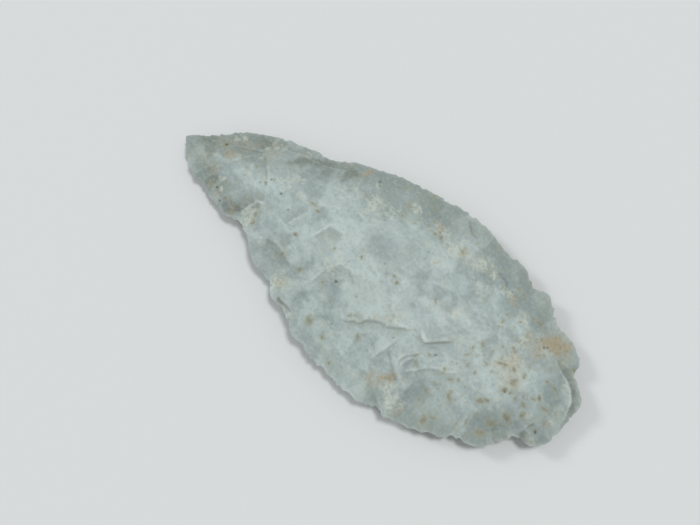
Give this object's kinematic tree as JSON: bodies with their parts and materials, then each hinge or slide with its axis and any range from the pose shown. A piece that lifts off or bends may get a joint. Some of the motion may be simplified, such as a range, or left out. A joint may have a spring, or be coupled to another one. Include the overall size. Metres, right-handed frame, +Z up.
{
  "type": "chipped stone cache blade",
  "caption": "Leaf-shaped biface of pale grey chert, flaked on both faces, with a pointed tip, a blunt nicked base and sharp wavy edges; lies flat.",
  "frame": {"origin": "under the middle of the blade's bounding box, at the level of the surface it lies on", "axes": "+X from the pointed tip to the blunt base, +Z up through the upper face, +Y to the edge with the long even curve"},
  "size_m": [0.1125, 0.0512, 0.009],
  "materials": {
    "chert": "waxy matte, pale blue-grey with tan freckles and orange iron stains"
  },
  "bodies": {
    "root": {"blade": "chert"}
  },
  "joints": []
}
